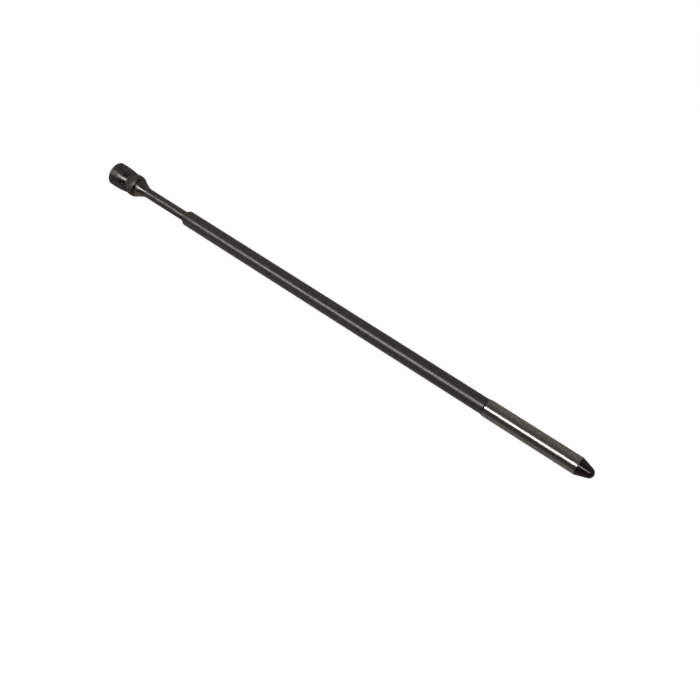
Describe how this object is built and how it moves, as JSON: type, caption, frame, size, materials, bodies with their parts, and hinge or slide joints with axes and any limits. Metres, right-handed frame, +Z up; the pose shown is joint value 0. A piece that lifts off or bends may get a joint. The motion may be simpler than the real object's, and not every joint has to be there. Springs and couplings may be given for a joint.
{
  "type": "magnetic pickup tool",
  "caption": "Telescoping magnetic pickup tool with a swivelling, tilting magnet head, a slim black tube and a polished handle sleeve with a conical end.",
  "frame": {"origin": "centre of the magnet's flat working face", "axes": "+X along the tool from the magnet face to the pointed handle end, +Z up with the tool lying level"},
  "size_m": [0.2924, 0.0124, 0.0125],
  "materials": {
    "head_steel": "turned, dark satin",
    "collar_steel": "dull, rubbed by the cup",
    "magnet_nickel": "ground nickel plate",
    "spacer_brass": "turned",
    "stud_steel": "turned, bright",
    "seat_plastic": "moulded nylon",
    "spring_steel": "rolled strip",
    "inner_tube_steel": "drawn, dark satin",
    "stop_brass": "turned",
    "tube_black": "black satin coat with a fine grain",
    "sleeve_polished": "polished stainless with fine lengthwise drawing lines",
    "tip_plastic": "black, glossy"
  },
  "bodies": {
    "handle": {"outer_tube": "tube_black", "handle_sleeve": "sleeve_polished", "tip_plug": "tip_plastic"},
    "second_spring": {"second_friction_spring": "spring_steel"},
    "second_section": {"second_tube": "inner_tube_steel", "second_tube_stop": "stop_brass"},
    "third_spring": {"third_friction_spring": "spring_steel"},
    "third_section": {"third_tube": "inner_tube_steel", "third_tube_stop": "stop_brass"},
    "inner_spring": {"inner_friction_spring": "spring_steel"},
    "inner_section": {"inner_tube": "inner_tube_steel", "inner_tube_stop": "stop_brass", "socket_cup": "head_steel", "socket_collar": "collar_steel", "seat_spring": "spring_steel"},
    "seat": {"ball_seat": "seat_plastic"},
    "head": {"magnet_cup": "head_steel", "magnet": "magnet_nickel", "magnet_spacer_ring": "spacer_brass", "ball_stud": "stud_steel"}
  },
  "joints": [
    {"name": "second_slide", "type": "slide", "parent": "handle", "child": "second_spring", "axis": [-1, 0, 0], "range_m": [0, 0.195]},
    {"name": "second_spin", "type": "hinge", "parent": "second_spring", "child": "second_section", "pos_m": [0.2574, 0, 0], "axis": [1, 0, 0], "continuous": true},
    {"name": "third_slide", "type": "slide", "parent": "second_section", "child": "third_spring", "axis": [-1, 0, 0], "range_m": [0, 0.186]},
    {"name": "third_spin", "type": "hinge", "parent": "third_spring", "child": "third_section", "pos_m": [0.2474, 0, 0], "axis": [1, 0, 0], "continuous": true},
    {"name": "inner_slide", "type": "slide", "parent": "third_section", "child": "inner_spring", "axis": [-1, 0, 0], "range_m": [-0.0255, 0.158]},
    {"name": "inner_spin", "type": "hinge", "parent": "inner_spring", "child": "inner_section", "pos_m": [0.2184, 0, 0], "axis": [1, 0, 0], "continuous": true},
    {"name": "head_swivel", "type": "hinge", "parent": "inner_section", "child": "seat", "pos_m": [0.0142, 0, 0], "axis": [1, 0, 0], "continuous": true},
    {"name": "head_tilt", "type": "hinge", "parent": "seat", "child": "head", "pos_m": [0.0142, 0, 0], "axis": [0, 1, 0], "range_deg": [-30, 30]}
  ]
}
